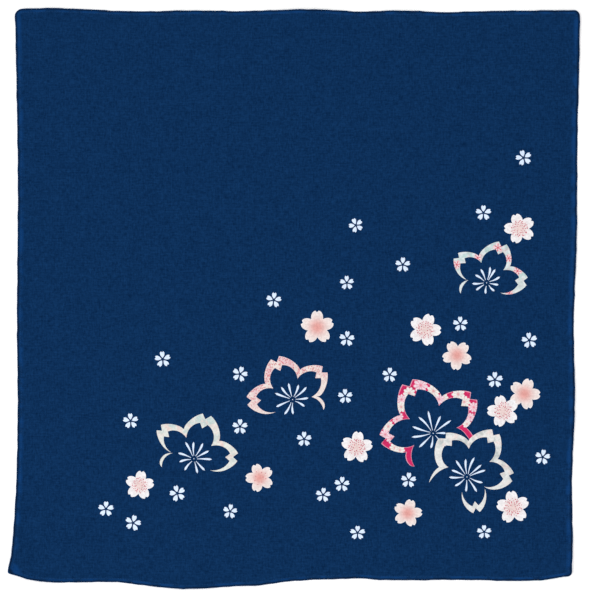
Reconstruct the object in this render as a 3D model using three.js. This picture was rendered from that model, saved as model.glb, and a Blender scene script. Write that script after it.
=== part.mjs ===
import * as THREE from "three";

// A square crepe wrapping cloth with a narrow turned hem, lying face up and unfolded.
// Millimetres, +Z up. +X is to the right and +Y towards the top of the printed face.

const CLOTH_WIDTH = 680;
const CLOTH_LENGTH = 695;
const FIELD_THICKNESS = 1.2;
const HEM_THICKNESS = 2.4;
const HEM_WIDTH = 5;
const FOLD_ROUNDING = 0.8;
const HEM_SLOPE = 2.5;
const LIFT_REACH = 95;
const FIELD_STEP = 25;

const NAVY = 0x0d2f56;
const CREPE_ROUGHNESS = 0.85;
const CREPE_METALNESS = 0;

// The hem's section from its folded outer edge inwards: the heights of its underside and of its face.
const HEM_SECTION = [
  { inset: 0, under: FOLD_ROUNDING, face: HEM_THICKNESS - FOLD_ROUNDING },
  { inset: FOLD_ROUNDING, under: 0, face: HEM_THICKNESS },
  { inset: HEM_WIDTH / 2, under: 0, face: HEM_THICKNESS },
  { inset: HEM_WIDTH, under: 0, face: HEM_THICKNESS },
  { inset: HEM_WIDTH + HEM_SLOPE, under: 0, face: FIELD_THICKNESS },
];

// How far each corner is rounded: the hem is turned most bluntly at the top, and sharply at the bottom left.
const CORNER_RADII = { topLeft: 9, topRight: 7.5, bottomLeft: 2.5, bottomRight: 5 };

// How each edge strays from a straight line: the place along it, the bulge outwards and the lift.
const EDGE_WAVES = {
  top: [
    { along: -340, bulge: 4.6, lift: 0.5 },
    { along: -297, bulge: 5.6, lift: 1.5 },
    { along: -191, bulge: 1.8, lift: 0 },
    { along: -127, bulge: 2.7, lift: 1.5 },
    { along: -66, bulge: 2.1, lift: 0 },
    { along: 24, bulge: 4, lift: 3 },
    { along: 80, bulge: 1.6, lift: 0 },
    { along: 128, bulge: 2.7, lift: 1.8 },
    { along: 183, bulge: 0.8, lift: 0 },
    { along: 232, bulge: 2.1, lift: 0.4 },
    { along: 340, bulge: 3, lift: 1 },
  ],
  right: [
    { along: -347, bulge: -3.2, lift: 1.5 },
    { along: -306, bulge: -1.8, lift: 0.5 },
    { along: -221, bulge: -2.5, lift: 0 },
    { along: -124, bulge: 0.8, lift: 2.2 },
    { along: -32, bulge: -0.4, lift: 0 },
    { along: 71, bulge: 3.1, lift: 1.6 },
    { along: 132, bulge: 3.7, lift: 0.4 },
    { along: 213, bulge: 4.4, lift: 0 },
    { along: 266, bulge: 5.8, lift: 0.8 },
    { along: 347, bulge: 7, lift: 1.6 },
  ],
  bottom: [
    { along: -340, bulge: -14.8, lift: 4.5 },
    { along: -309, bulge: -5, lift: 2.5 },
    { along: -212, bulge: -2.1, lift: 0 },
    { along: -163, bulge: 3.4, lift: 2.6 },
    { along: -127, bulge: 5.3, lift: 4 },
    { along: -78, bulge: 2.6, lift: 1.6 },
    { along: -42, bulge: 1.2, lift: 0.6 },
    { along: -5, bulge: -3.6, lift: 0 },
    { along: 55, bulge: -6.4, lift: 0.4 },
    { along: 80, bulge: -7.1, lift: 0.8 },
    { along: 104, bulge: -5.5, lift: 1.4 },
    { along: 201, bulge: -5.3, lift: 0 },
    { along: 299, bulge: -4.9, lift: 0.6 },
    { along: 340, bulge: -10.8, lift: 2 },
  ],
  left: [
    { along: -347, bulge: 8, lift: 3.5 },
    { along: -318, bulge: 3.3, lift: 2.4 },
    { along: -282, bulge: 1.2, lift: 1.5 },
    { along: -209, bulge: -2, lift: 0 },
    { along: -124, bulge: -3.4, lift: 1.2 },
    { along: -26, bulge: -2.3, lift: 0 },
    { along: 34, bulge: -3, lift: 1.2 },
    { along: 150, bulge: -3.4, lift: 0 },
    { along: 290, bulge: -1.3, lift: 1 },
    { along: 347, bulge: 0, lift: 0.5 },
  ],
};

// A smooth curve through an edge's rows, read by the place along the edge.
function edgeCurve(rows) {
  const places = rows.map((row) => row.along);
  const values = rows.flatMap((row) => [row.bulge, row.lift]);
  const curve = new THREE.CubicInterpolant(places, values, 2);
  return (along) => {
    const [bulge, lift] = curve.evaluate(along);
    return { bulge, lift: Math.max(lift, 0) };
  };
}

const edges = {
  top: edgeCurve(EDGE_WAVES.top),
  right: edgeCurve(EDGE_WAVES.right),
  bottom: edgeCurve(EDGE_WAVES.bottom),
  left: edgeCurve(EDGE_WAVES.left),
};

// Insets of the grid lines from one side to the other: the hem's lines at both ends, even steps between.
function gridInsets(side) {
  const hem = HEM_SECTION.map((row) => row.inset);
  const hemEnd = hem[hem.length - 1];
  const field = side - 2 * hemEnd;
  const steps = Math.round(field / FIELD_STEP);
  const inner = [];
  for (let step = 1; step < steps; step += 1) {
    inner.push(hemEnd + (field * step) / steps);
  }
  const farHem = hem.map((inset) => side - inset).reverse();
  return [...hem, ...inner, ...farHem];
}

// The point of the square sheet with its corner turned into a round one.
function roundCorner(x, y) {
  const radius = CORNER_RADII[(y > 0 ? "top" : "bottom") + (x > 0 ? "Right" : "Left")];
  const fromX = Math.abs(x) - (CLOTH_WIDTH / 2 - radius);
  const fromY = Math.abs(y) - (CLOTH_LENGTH / 2 - radius);
  if (fromX <= 0 || fromY <= 0) {
    return { x, y };
  }
  const pull = Math.max(fromX, fromY) / Math.hypot(fromX, fromY);
  return {
    x: x - Math.sign(x) * fromX * (1 - pull),
    y: y - Math.sign(y) * fromY * (1 - pull),
  };
}

// How much of an edge's lift is left at an inset from it: all at the edge, none past the reach.
function liftFade(inset) {
  const share = THREE.MathUtils.clamp(inset / LIFT_REACH, 0, 1);
  return Math.cos((share * Math.PI) / 2) ** 2;
}

// The heights of the underside and the face at an inset from the nearest edge.
function sectionAt(inset) {
  const next = HEM_SECTION.findIndex((row) => row.inset >= inset);
  if (next === 0) {
    return HEM_SECTION[0];
  }
  if (next < 0) {
    return HEM_SECTION[HEM_SECTION.length - 1];
  }
  const before = HEM_SECTION[next - 1];
  const after = HEM_SECTION[next];
  const share = (inset - before.inset) / (after.inset - before.inset);
  return {
    under: THREE.MathUtils.lerp(before.under, after.under, share),
    face: THREE.MathUtils.lerp(before.face, after.face, share),
  };
}

// One point of the laid sheet, given by its insets from the left and bottom edges.
function sheetPoint(insetX, insetY) {
  const flat = roundCorner(insetX - CLOTH_WIDTH / 2, insetY - CLOTH_LENGTH / 2);
  const rightShare = insetX / CLOTH_WIDTH;
  const topShare = insetY / CLOTH_LENGTH;
  const left = edges.left(flat.y);
  const right = edges.right(flat.y);
  const bottom = edges.bottom(flat.x);
  const top = edges.top(flat.x);
  const farX = CLOTH_WIDTH - insetX;
  const farY = CLOTH_LENGTH - insetY;
  const sideLift = left.lift * liftFade(insetX) + right.lift * liftFade(farX);
  const endLift = bottom.lift * liftFade(insetY) + top.lift * liftFade(farY);
  const section = sectionAt(Math.min(insetX, farX, insetY, farY));
  return {
    x: flat.x + right.bulge * rightShare - left.bulge * (1 - rightShare),
    y: flat.y + top.bulge * topShare - bottom.bulge * (1 - topShare),
    under: section.under + sideLift + endLift,
    face: section.face + sideLift + endLift,
  };
}

// The cloth as one closed body: its face, its underside and the wall round its edge.
function clothGeometry() {
  const columns = gridInsets(CLOTH_WIDTH);
  const rows = gridInsets(CLOTH_LENGTH);
  const layerSize = columns.length * rows.length;
  const positions = new Float32Array(2 * layerSize * 3);
  const indices = [];
  const faceIndex = (column, row) => row * columns.length + column;
  const underIndex = (column, row) => layerSize + faceIndex(column, row);

  rows.forEach((insetY, row) => {
    columns.forEach((insetX, column) => {
      const point = sheetPoint(insetX, insetY);
      positions.set([point.x, point.y, point.face], 3 * faceIndex(column, row));
      positions.set([point.x, point.y, point.under], 3 * underIndex(column, row));
    });
  });

  for (let row = 0; row < rows.length - 1; row += 1) {
    for (let column = 0; column < columns.length - 1; column += 1) {
      const cell = [
        [column, row],
        [column + 1, row],
        [column + 1, row + 1],
        [column, row + 1],
      ];
      const [a, b, c, d] = cell.map(([u, v]) => faceIndex(u, v));
      const [e, f, g, h] = cell.map(([u, v]) => underIndex(u, v));
      indices.push(a, b, c, a, c, d);
      indices.push(e, g, f, e, h, g);
    }
  }

  const wall = (from, to) => {
    const [a, b] = [faceIndex(...from), faceIndex(...to)];
    const [c, d] = [underIndex(...from), underIndex(...to)];
    indices.push(a, c, d, a, d, b);
  };
  const lastColumn = columns.length - 1;
  const lastRow = rows.length - 1;
  for (let column = 0; column < lastColumn; column += 1) {
    wall([column, 0], [column + 1, 0]);
    wall([column + 1, lastRow], [column, lastRow]);
  }
  for (let row = 0; row < lastRow; row += 1) {
    wall([lastColumn, row], [lastColumn, row + 1]);
    wall([0, row + 1], [0, row]);
  }

  const geometry = new THREE.BufferGeometry();
  geometry.setAttribute("position", new THREE.BufferAttribute(positions, 3));
  geometry.setIndex(indices);
  return geometry;
}

// Moves a geometry so that its box is centred on the origin and stands on z = 0.
function centreOnFloor(geometry) {
  geometry.computeBoundingBox();
  const middle = geometry.boundingBox.getCenter(new THREE.Vector3());
  geometry.translate(-middle.x, -middle.y, -geometry.boundingBox.min.z);
  geometry.computeVertexNormals();
  return geometry;
}

const crepe = new THREE.MeshStandardMaterial({
  color: NAVY,
  roughness: CREPE_ROUGHNESS,
  metalness: CREPE_METALNESS,
});

const cloth = new THREE.Mesh(centreOnFloor(clothGeometry()), crepe);
cloth.name = "cloth";

const furoshiki = new THREE.Group();
furoshiki.name = "furoshiki";
furoshiki.add(cloth);

export default furoshiki;
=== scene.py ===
import math
import random
from bisect import bisect_right

import bpy
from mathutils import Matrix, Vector
from mathutils.geometry import delaunay_2d_cdt


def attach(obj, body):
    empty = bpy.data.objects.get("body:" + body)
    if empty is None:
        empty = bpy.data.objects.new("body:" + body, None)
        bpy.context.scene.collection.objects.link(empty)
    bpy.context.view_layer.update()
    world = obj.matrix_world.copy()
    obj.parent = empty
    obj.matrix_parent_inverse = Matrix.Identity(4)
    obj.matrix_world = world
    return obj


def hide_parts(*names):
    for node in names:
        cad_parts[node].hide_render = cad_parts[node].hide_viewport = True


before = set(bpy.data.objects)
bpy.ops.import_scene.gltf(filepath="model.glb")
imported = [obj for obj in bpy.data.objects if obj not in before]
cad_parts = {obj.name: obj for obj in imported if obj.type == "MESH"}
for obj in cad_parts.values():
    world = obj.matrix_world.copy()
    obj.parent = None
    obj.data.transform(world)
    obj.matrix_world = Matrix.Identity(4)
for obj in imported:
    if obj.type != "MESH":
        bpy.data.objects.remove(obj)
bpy.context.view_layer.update()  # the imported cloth, as a fixed frame
mm = 0.001  # the tables below are in millimetres

# The sheet, face up. Its flat places are measured from the middle: x to the right, y to the top.
clothSheet = {
    "width": 680,
    "length": 695,
    "turnedUnder": 11,  # cloth taken up by the hem on each side
    "cornerRadii": {"topLeft": 9, "topRight": 7.5, "bottomLeft": 2.5, "bottomRight": 5},
    "liftReach": 95,  # how far in from an edge its lift fades out
    "bulgeReach": 130,  # and its bulge
    "swellStart": 10,  # inset where the field's swells begin
    "swellSpan": 60,  # and over how far they come in
    "swellFalloff": 1.6,
    "gridStep": 8,
    "printClearance": 2.5,  # grid points stay about this far from the print's outlines
    "backInset": 5.6,  # the underside's own colour begins inside the hem
}

# How each edge strays from a straight line: place along it, bulge outwards, lift.
edgeWaves = {
    "top": [
        (-340, 4.6, 0.5), (-297, 5.6, 1.5), (-191, 1.8, 0), (-127, 2.7, 1.5), (-66, 2.1, 0), (24, 4, 3),
        (80, 1.6, 0), (128, 2.7, 1.8), (183, 0.8, 0), (232, 2.1, 0.4), (340, 3, 1),
    ],
    "right": [
        (-347, -3.2, 1.5), (-306, -1.8, 0.5), (-221, -2.5, 0), (-124, 0.8, 2.2), (-32, -0.4, 0),
        (71, 3.1, 1.6), (132, 3.7, 0.4), (213, 4.4, 0), (266, 5.8, 0.8), (347, 7, 1.6),
    ],
    "bottom": [
        (-340, -14.8, 4.5), (-309, -5, 2.5), (-212, -2.1, 0), (-163, 3.4, 2.6), (-127, 5.3, 4),
        (-78, 2.6, 1.6), (-42, 1.2, 0.6), (-5, -3.6, 0), (55, -6.4, 0.4), (80, -7.1, 0.8),
        (104, -5.5, 1.4), (201, -5.3, 0), (299, -4.9, 0.6), (340, -10.8, 2),
    ],
    "left": [
        (-347, 8, 3.5), (-318, 3.3, 2.4), (-282, 1.2, 1.5), (-209, -2, 0), (-124, -3.4, 1.2),
        (-26, -2.3, 0), (34, -3, 1.2), (150, -3.4, 0), (290, -1.3, 1), (347, 0, 0.5),
    ],
}

# The hem's section from its folded outer edge inwards: inset, underside's height, face's height.
hemSection = [
    (0, 0.85, 1.05), (0.25, 0.40, 1.50), (0.9, 0.06, 1.82), (2.6, 0, 1.95), (4.2, 0.06, 1.80),
    (4.7, 0.16, 1.62), (5.2, 0.20, 1.58), (5.5, 0.30, 1.50), (5.7, 0.95, 1.42), (7.5, 0.60, 1.05),
    (10, 0.22, 0.67), (14, 0, 0.45),
]

# How the sewing draws the hem in and out, and up, and how two hems cross at each corner.
hemSewing = {
    "ripple": {"depth": 0.3, "reach": 12, "waves": [(2.9, 0), (4.7, 1), (7.9, 2)]},  # length, phase
    "rippleStarts": {"right": 0, "left": 50, "top": 90, "bottom": 140},
    "pucker": {"height": 0.16, "reach": 26, "waves": (4.1, 6.7), "phase": 2, "share": 0.7, "slant": 60},
    "crossing": {"rise": 1.2, "end": 4.4, "fall": 1.4},  # insets: risen by, falls from, over how far
    "crossingHeight": 0.45,
}

# Low soft swells of the field: x, y, reach across, reach along, turn in degrees, height.
fieldSwells = [
    (-205, 190, 150, 60, 24, 1.4), (60, 235, 120, 55, -12, 1.1), (236, 150, 70, 130, 10, 1.2),
    (-60, 60, 170, 48, 38, 1.0), (-240, -60, 60, 140, -8, 1.3), (120, -40, 130, 50, -30, 0.9),
    (-20, -200, 140, 60, 14, 1.2), (215, -235, 80, 90, 32, 1.1), (-190, -240, 90, 50, -20, 1.1),
]

halfWidth = clothSheet["width"] / 2
halfLength = clothSheet["length"] / 2


def curveThrough(rows, column):  # a smooth curve through one column of an edge's rows
    places = [row[0] for row in rows]
    values = [row[column] for row in rows]
    rises = [(values[i + 1] - values[i]) / (places[i + 1] - places[i]) for i in range(len(rows) - 1)]
    middles = [(before + after) / 2 for before, after in zip(rises, rises[1:])]
    slopes = [rises[0], *middles, rises[-1]]

    def valueAt(place):
        place = min(max(place, places[0]), places[-1])
        i = min(bisect_right(places, place), len(rows) - 1) - 1
        span = places[i + 1] - places[i]
        s = (place - places[i]) / span
        start = values[i] * (1 + 2 * s) * (1 - s) ** 2 + values[i + 1] * s * s * (3 - 2 * s)
        return start + span * s * (1 - s) * (slopes[i] * (1 - s) - slopes[i + 1] * s)

    return valueAt


bulgeOf = {side: curveThrough(rows, 1) for side, rows in edgeWaves.items()}
liftOf = {side: curveThrough(rows, 2) for side, rows in edgeWaves.items()}


def smoothStep(value):
    value = min(max(value, 0), 1)
    return value * value * (3 - 2 * value)


def turned(point, degrees):
    cos, sin = math.cos(math.radians(degrees)), math.sin(math.radians(degrees))
    return point[0] * cos - point[1] * sin, point[0] * sin + point[1] * cos


def roundCorner(x, y):
    corner = ("top" if y > 0 else "bottom") + ("Right" if x > 0 else "Left")
    radius = clothSheet["cornerRadii"][corner]
    fromX = abs(x) - (halfWidth - radius)
    fromY = abs(y) - (halfLength - radius)
    if fromX <= 0 or fromY <= 0:
        return x, y
    pull = max(fromX, fromY) / math.hypot(fromX, fromY)
    return (
        x - math.copysign(fromX * (1 - pull), x),
        y - math.copysign(fromY * (1 - pull), y),
    )


def edgeFade(inset, reach):  # all of an edge's wave at the edge, none past its reach
    return math.cos(min(max(inset / reach, 0), 1) * math.pi / 2) ** 2


def edgesNear(x, y, alongX, alongY):  # each side with a place's inset from it and its place along it
    return (
        ("left", halfWidth + x, alongY), ("right", halfWidth - x, alongY),
        ("bottom", halfLength + y, alongX), ("top", halfLength - y, alongX),
    )


def rippleAt(along, inset, depth, reach, waves):  # small uneven waves of a sewn edge
    wave = sum(math.sin(along / length + phase) for length, phase in waves) / 2
    return depth * wave * edgeFade(inset, reach)


def laidPlace(x, y):  # where a flat place comes to lie, seen from above
    flatX, flatY = roundCorner(x, y)
    shifts = {}
    for side, inset, along in edgesNear(x, y, flatX, flatY):
        bulge = bulgeOf[side](along) * edgeFade(inset, clothSheet["bulgeReach"])
        start = hemSewing["rippleStarts"][side]
        shifts[side] = bulge + rippleAt(along + start, inset, **hemSewing["ripple"])
    return flatX + shifts["right"] - shifts["left"], flatY + shifts["top"] - shifts["bottom"]


def outlineMiddle(steps=200):  # the middle of the laid outline's box, which is the frame's origin
    shares = [i / steps for i in range(-steps, steps + 1)]
    rim = [spot for share in shares for end in (-1, 1) for spot in ((share, end), (end, share))]
    across, along = zip(*(laidPlace(halfWidth * u, halfLength * v) for u, v in rim))
    return (min(across) + max(across)) / 2, (min(along) + max(along)) / 2


middleX, middleY = outlineMiddle()


def flatPlace(x, y, passes=6):  # the flat place that comes to lie at x, y
    flatX, flatY = x + middleX, y + middleY
    for _ in range(passes):
        laidX, laidY = laidPlace(flatX, flatY)
        flatX += x + middleX - laidX
        flatY += y + middleY - laidY
    return flatX, flatY


def insetAt(x, y):
    return max(min(halfWidth - abs(x), halfLength - abs(y)), 0)


def puckerAt(along, inset, height, reach, waves, phase, share, slant):
    gather = math.sin(along / waves[0] + inset / slant) + share * math.sin(along / waves[1] + phase)
    return height * (1 - smoothStep(inset / reach)) * max(gather, 0)


def liftAt(x, y):  # height of the edges' waves, the hem's puckers and the field's swells
    height = 0
    for side, inset, along in edgesNear(x, y, x, y):
        height += max(liftOf[side](along), 0) * edgeFade(inset, clothSheet["liftReach"])
        height += puckerAt(along, inset, **hemSewing["pucker"])
    field = smoothStep((insetAt(x, y) - clothSheet["swellStart"]) / clothSheet["swellSpan"])
    for swellX, swellY, across, along, turn, rise in fieldSwells:
        u, v = turned((x - swellX, y - swellY), -turn)
        u, v = u / across, v / along
        height += rise * field * math.exp(-(u * u + v * v) * clothSheet["swellFalloff"])
    return height


def crossingAt(inset, rise, end, fall):  # the share of a crossing, by inset from one of its edges
    return smoothStep(inset / rise) * (1 - smoothStep((inset - end) / fall))


def sectionAt(inset, side):
    column = {"under": 1, "face": 2}[side]
    for before, after in zip(hemSection, hemSection[1:]):
        if inset <= after[0]:
            share = (inset - before[0]) / (after[0] - before[0])
            return before[column] + (after[column] - before[column]) * share
    return hemSection[-1][column]


def sheetPoint(x, y, side):  # a point of the face or the underside, in metres
    laidX, laidY = laidPlace(x, y)
    height = liftAt(x, y) + sectionAt(insetAt(x, y), side)
    if side == "face":
        insets = (halfWidth - abs(x), halfLength - abs(y))
        crossing = math.prod(crossingAt(inset, **hemSewing["crossing"]) for inset in insets)
        height += hemSewing["crossingHeight"] * crossing
    return Vector((laidX - middleX, laidY - middleY, height)) * mm


print("sheet:", clothSheet["width"], "by", clothSheet["length"], "mm, middle", (middleX, middleY))

# The print, in the order in which it is laid on. Places are those of the laid cloth, in millimetres
# from its middle; a turn is the angle of one petal in degrees, 90 pointing to the top edge.
smallBlossoms = {
    "radius": 9.3,
    "paint": "whiteInk",
    "steps": 7,  # along each side of a petal
    "places": [  # x, y, turn, share of the radius
        (279, 171, 105, 1), (230, 104, 90, 1), (75, 89, 112, 0.94), (132, 41, 88, 0.98),
        (64, 19, 92, 0.92), (-25, -2, 84, 1), (202, -31, 92, 0.97), (64, -49, 85, 1),
        (286, -51, 97, 1.03), (-160, -74, 95, 1.04), (-66, -92, 74, 1), (116, -93, 87, 0.97),
        (244, -99, 90, 1.04), (62, -119, 92, 0.96), (-199, -149, 94, 1), (-66, -156, 89, 1),
        (12, -171, 90, 0.98), (302, -193, 82, 1), (139, -221, 86, 1), (58, -226, 87, 1),
        (-142, -237, 105, 1.03), (35, -239, 84, 0.97), (-229, -256, 88, 1.02), (-78, -259, 82, 0.93),
        (-196, -273, 77, 1.04), (231, -284, 92, 0.96), (77, -285, 89, 1),
    ],
}

roundBlossoms = {
    "places": [  # x, y, radius, turn, paint, stamen dots
        (274, 85, 18.2, 35, "whiteBloom", 58), (159, -38, 19.6, 70, "whiteBloom", 62),
        (76, -181, 19.2, 84, "whiteBloom", 60), (-188, -227, 17.4, 82, "whiteBloom", 54),
        (266, -254, 20.6, 97, "whiteBloom", 62), (28, -35, 20.2, 91, "pinkBloom", 0),
        (198, -69, 18, 49, "pinkBloom", 0), (280, -116, 18.9, 70, "pinkBloom", 0),
        (-42, -218, 17.2, 109, "pinkBloom", 9), (138, -261, 17.5, 75, "pinkBloom", 0),
        (254, -137, 19.3, 106, "whiteBloom", 60),
    ],
    "steps": 7,
    "rim": 0.87,  # where a petal's pale rim ends
    "dots": {  # shares of the radius, and degrees
        "near": 0.13, "far": 0.55, "reachStray": 0.03, "turn": 137.5, "turnStray": 9,
        "size": 0.028, "sizeShares": (0.75, 1.2), "length": 1.5,
    },
}

petalCount = 5
petalTurn = 360 / petalCount
dotCorners = 6

# Petal sides from the foot to the tip: four points of a curve, then the notch. The petal points along y.
petalShapes = {
    "single": ((0, 0.17), (0.19, 0.34), (0.45, 0.78), (0.155, 1.0), (0, 0.88)),
    "round": ((0.348, 0.479), (0.385, 0.66), (0.33, 0.93), (0.11, 1.0), (0, 0.90)),
    "ribbonOuter": ((0.382, 0.526), (0.40, 0.68), (0.24, 0.92), (0.092, 1.0), (0, 0.90)),
    "ribbonInner": ((0.27, 0.372), (0.315, 0.53), (0.25, 0.715), (0.083, 0.79), (0, 0.69)),
}

# Large open blossoms, each drawn by ribbons round its petals. A ribbon place counts petals from the
# first one, counter-clockwise: whole numbers are the valleys and halves the tips. The rows give:
# petals: angle, size, angle of the valley after it, depth of that valley
# narrowed: for some petals, how far the ribbon's inner edge is moved out, or in where it is under 1
# ribbons: from, to, inner and outer edge across the width, taper at each end, lean of the points
# flowers: ribbon place, share across, radius, paint
# stamens: angle, reach
red, pale, cream = "redFlower", "paleFlower", "creamFlower"
largeBlossoms = [
    {
        "paint": "mintRibbon", "x": 235, "y": 23, "radius": 48,
        "petals": [
            (-2, 1, 31, 1), (67.6, 1, 110, 0.98), (142.6, 1, 181, 1), (226, 1, 259, 1), (292, 1, 314, 0.9),
        ],
        "ribbons": [(0, 3, 0, 1, 0.44, 0.44, 0.3), (3, 3.32, 0, 0.62, 0.14, 0.2, 0.2)],
        "flowers": [
            (0.18, 0.35, 5.0, red), (0.76, 0.5, 6.0, red), (1.22, 0.45, 5.6, red),
            (1.55, 0.4, 6.2, red), (2.08, 0.4, 5.4, red), (2.64, 0.5, 6.0, red),
        ],
        "heart": (234, 19),
        "stamens": [
            (78, 20), (58, 19.5), (25, 17.6), (-10, 14.6), (-47, 14), (-95, 13.4), (215, 15.8),
            (183, 17.6), (145, 17), (113, 18.2),
        ],
    },
    {
        "paint": "pinkRibbon", "x": -3, "y": -123, "radius": 54.4,
        "petals": [
            (42.3, 1, 74.5, 1.06), (111.9, 1, 149, 1.05), (181.3, 1, 218, 0.96), (255, 1, 294, 1),
            (332, 0.94, 367.5, 1),
        ],
        "narrowed": {0: 1.03},
        "ribbons": [(-0.38, 0, 0, 0.66, 0.26, 0, 0.1), (0, 3, 0, 1, 0, 0.44, 0)],
        "heart": (-2, -123),
        "stamens": [
            (104, 20.7), (132, 20.7), (160, 23), (204, 22), (241, 20.7), (272, 18), (-30, 17),
            (6, 19.5), (42, 23), (68, 19.5),
        ],
    },
    {
        "paint": "creamRibbon", "x": -124, "y": -194, "radius": 55,
        "petals": [
            (1.4, 1, 32.5, 1.08), (71.6, 1, 106.5, 1.02), (138.1, 1, 166, 1.03), (204, 0.86, 245, 1),
            (285, 1, 325.5, 0.96),
        ],
        "narrowed": {0: 1.06},
        "ribbons": [(0, 3, 0, 1, 0.44, 0.44, 0.2), (3, 3.42, 0, 0.5, 0.14, 0.2, 0.1)],
        "heart": (-122, -195),
        "stamens": [
            (117, 23), (91, 20.7), (60, 22), (28, 20.7), (-2, 22), (-47, 19.5), (-76, 18.2),
            (231, 18.2), (192, 18.2), (160, 20.7),
        ],
    },
    {
        "paint": "redRibbon", "x": 168, "y": -158, "radius": 64.5,
        "petals": [
            (37.9, 1, 73.5, 0.96), (118.7, 1, 157.5, 1), (192, 1, 222.5, 0.995), (256, 1.05, 289, 1),
            (322, 1, 361, 0.975),
        ],
        "narrowed": {2: 1.06},
        "ribbons": [
            (-0.27, 0, 0.12, 1, 0.1, 0, 0.3), (0, 3, 0, 1, 0, 0, 0.3), (3, 3.36, 0, 1.05, 0, 0.34, 0),
        ],
        "flowers": [
            (0.10, 0.6, 5.4, cream), (0.22, 0.5, 5.6, pale), (0.36, 0.6, 6.4, pale),
            (0.52, 0.3, 7.6, cream), (0.70, 0.5, 8.2, cream), (0.94, 0.6, 6.2, cream),
            (1.05, 0.4, 6.6, pale), (1.18, 0.5, 8.4, cream), (1.36, 0.45, 9.0, pale),
            (1.55, 0.15, 7.6, cream), (1.72, 0.45, 6.4, pale), (1.83, 0.5, 6.8, cream),
            (2.06, 0.8, 5.6, pale), (2.14, 0.5, 5.6, pale), (2.30, 0.5, 7.2, cream),
            (2.44, 0.45, 6.4, pale), (2.52, 0.2, 6.8, pale), (2.74, 0.45, 6.6, cream),
            (2.84, 0.6, 6.4, cream),
        ],
        "heart": (169, -164),
        "stamens": [
            (103, 28), (132, 26.8), (162, 26.8), (190, 26.8), (225, 24.3), (261, 18.6), (-45, 22),
            (0, 15.5), (36, 26.8), (67, 23),
        ],
    },
    {
        "paint": "silverRibbon", "x": 214, "y": -206, "radius": 54,
        "petals": [
            (-11, 1, 17.5, 1), (54.5, 1, 94, 0.957), (130, 0.955, 178.5, 1.035), (213, 1.12, 251, 1),
            (277.6, 1.035, 306.5, 1),
        ],
        "narrowed": {2: 0.98},
        "ribbons": [
            (0, 3, 0, 1, 0.44, 0, 0.3), (3, 3.31, 0, 1, 0, 0.4, 0.85), (4, 4.97, 0.26, 1, 0.3, 0.3, 0.15),
        ],
        "heart": (210, -217),
        "stamens": [
            (124, 24.3), (94, 22), (69, 25.5), (40, 23), (20, 24.3), (-20, 20.7), (-57, 22),
            (266, 18.4), (217, 18.6), (181, 22), (156, 20.7),
        ],
    },
]

largeInk = {
    "steps": 9,  # along each side of a ribbon's petal
    "sideShare": 0.43,  # of a petal's ribbon places, on each side of the notch
    "edging": 0.12,  # the pale edging's share of the ribbon's width
    "endFade": 0.8,  # how much of a petal the ribbon's pattern takes to fade in
    "endGap": 0.01,  # no point comes this near to a ribbon's end
    "heartDot": 0.65,
    "stamen": {"start": 3.8, "thin": 0.6, "thick": 2.5, "rounding": 0.8, "steps": 7},
    "stamenBend": 0.05,
    "flowerSteps": 3,
    "flowerRim": 0.82,
    "daisyPetals": 9,
    "daisyPetal": [(0, 0.74), (0.3, 0.97), (0.5, 1), (0.7, 0.97)],  # share of its angle, reach
}

printSeed = 7
printShapes = []  # each shape's outline, paint, blossom and clip, in the order of printing
printMotifs = []  # each blossom's centre, turn and radius, and the one that it is part of


def addMotif(flatX, flatY, turn, radius, home=None):
    number = len(printMotifs)
    home = number if home is None else home
    motif = {"x": flatX, "y": flatY, "turn": turn - 90, "radius": radius, "home": home}
    printMotifs.append(motif)
    return number


def placed(points, motif):  # points of a blossom of radius 1, petal upwards, put in their place
    spot = printMotifs[motif]
    laid = (turned(point, spot["turn"]) for point in points)
    return [(spot["x"] + spot["radius"] * x, spot["y"] + spot["radius"] * y) for x, y in laid]


def addShape(points, paint, motif, depth=0, within=None, alongs=None):
    alongs = alongs or [1] * len(points)  # 0 at a ribbon's end, 1 away from it
    shape = {"points": points, "paint": paint, "motif": motif}
    printShapes.append({**shape, "depth": depth, "within": within, "alongs": alongs})
    return len(printShapes) - 1


def dotOutline(radius):
    return [turned((radius, 0), 360 * k / dotCorners) for k in range(dotCorners)]


def petalSide(shape, steps):  # from the foot up to the tip, on the right
    curve = petalShapes[shape][:4]
    side = []
    for i in range(steps + 1):
        s = i / steps
        weights = ((1 - s) ** 3, 3 * s * (1 - s) ** 2, 3 * s * s * (1 - s), s ** 3)
        side.append(tuple(sum(w * point[k] for w, point in zip(weights, curve)) for k in (0, 1)))
    return side


def wholePetal(shape, steps):  # from the right foot over the notch to the left foot
    side = petalSide(shape, steps)
    return [*side, petalShapes[shape][4], *((-x, y) for x, y in reversed(side))]


def roundOutline(steps, scale=1):  # five petals in one outline
    petal = wholePetal("round", steps)[:-1]
    return [turned((x * scale, y * scale), petalTurn * k) for k in range(petalCount) for x, y in petal]


def daisyOutline(scale):  # many narrow petals in one outline
    count = largeInk["daisyPetals"]
    return [
        turned((0, reach * scale), 360 * (k + share) / count)
        for k in range(count) for share, reach in largeInk["daisyPetal"]
    ]


def printSmallBlossom(x, y, turn, size):
    motif = addMotif(*flatPlace(x, y), turn, smallBlossoms["radius"] * size)
    petal = wholePetal("single", smallBlossoms["steps"])[:-1]
    for k in range(petalCount):
        outline = [turned(point, petalTurn * k) for point in petal]
        addShape(placed(outline, motif), smallBlossoms["paint"], motif)


def printDots(motif, count, chance, near, far, reachStray, turn, turnStray, size, sizeShares, length):
    for i in range(count):  # dots spiral out from the heart
        reach = near + (far - near) * math.sqrt((i + 0.5) / count) + chance.uniform(-reachStray, reachStray)
        angle = turn * i + chance.uniform(-turnStray, turnStray)
        outline = dotOutline(size * chance.uniform(*sizeShares))
        dot = [turned((reach + length * u, v), angle) for u, v in outline]
        addShape(placed(dot, motif), "stamenDot", motif, depth=1)


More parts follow.
